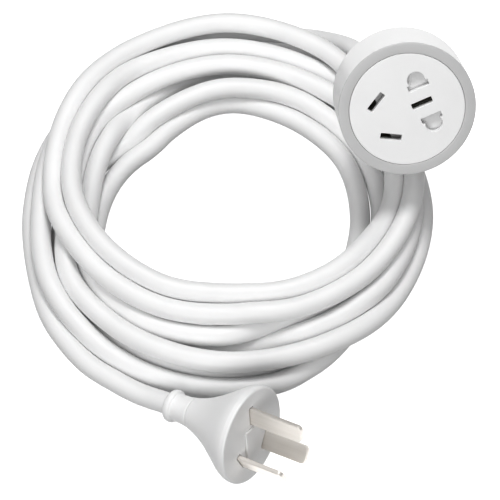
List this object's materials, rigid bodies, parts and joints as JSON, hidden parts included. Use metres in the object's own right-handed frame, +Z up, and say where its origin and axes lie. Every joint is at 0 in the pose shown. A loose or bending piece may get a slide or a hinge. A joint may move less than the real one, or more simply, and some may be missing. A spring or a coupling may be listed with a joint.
{
  "type": "extension cord",
  "caption": "Loosely coiled white three-core extension cord with a moulded flat-pin plug at one end and a round shuttered socket head at the other.",
  "frame": {"origin": "on the coil's flat underside, on the mean circle of its turns, at the coil's +X side", "axes": "+Z up from the surface that the coil lies on, +X out of the coil at the origin, +Y away from the side where the plug lies"},
  "size_m": [0.1598, 0.2015, 0.0767],
  "materials": {
    "cord_pvc": "satin white PVC",
    "shell_plastic": "satin white moulded plastic",
    "grey_plastic": "light grey moulded plastic",
    "plate_plastic": "white moulded plastic",
    "shutter_plastic": "light grey moulded plastic",
    "carrier_plastic": "off-white moulded plastic",
    "plug_pvc": "satin white moulded PVC",
    "nickel": "satin nickel-plated brass",
    "brass": "bare brass strip",
    "steel": "zinc-plated steel",
    "brown_core": "brown PVC insulation",
    "blue_core": "blue PVC insulation",
    "earth_core": "green and yellow PVC insulation"
  },
  "bodies": {
    "cord_set": {"back_shell": "shell_plastic", "bezel_ring": "grey_plastic", "face_plate": "plate_plastic", "contact_carrier": "carrier_plastic", "live_contact": "brass", "neutral_contact": "brass", "earth_contact": "brass", "two_pole_spring": "steel", "three_pole_spring_left": "steel", "three_pole_spring_right": "steel", "housing_screw_left": "steel", "housing_screw_right": "steel", "socket_strain_relief": "cord_pvc", "socket_live_core": "brown_core", "socket_neutral_core": "blue_core", "socket_earth_core": "earth_core", "plug_body": "plug_pvc", "pin_bridge": "plug_pvc", "live_pin": "nickel", "neutral_pin": "nickel", "earth_pin": "nickel", "plug_live_core": "brown_core", "plug_neutral_core": "blue_core", "plug_earth_core": "earth_core", "plug_strain_relief": "plug_pvc", "cord_coil": "cord_pvc", "socket_tail": "cord_pvc", "plug_tail": "cord_pvc"},
    "two_pole_slider": {"two_pole_shutter": "shutter_plastic"},
    "three_pole_slider": {"three_pole_shutter": "shutter_plastic"}
  },
  "joints": [
    {"name": "two_pole_shutter_slide", "type": "slide", "parent": "cord_set", "child": "two_pole_slider", "axis": [-0.9149, -0.2754, -0.2952], "range_m": [0, 0.0076], "stiffness_N_per_m": 90, "springref_m": -0.004, "deforming": ["two_pole_spring"]},
    {"name": "three_pole_shutter_slide", "type": "slide", "parent": "cord_set", "child": "three_pole_slider", "axis": [0.9149, 0.2754, 0.2952], "range_m": [0, 0.004], "stiffness_N_per_m": 90, "springref_m": -0.004, "deforming": ["three_pole_spring_left", "three_pole_spring_right"]}
  ]
}
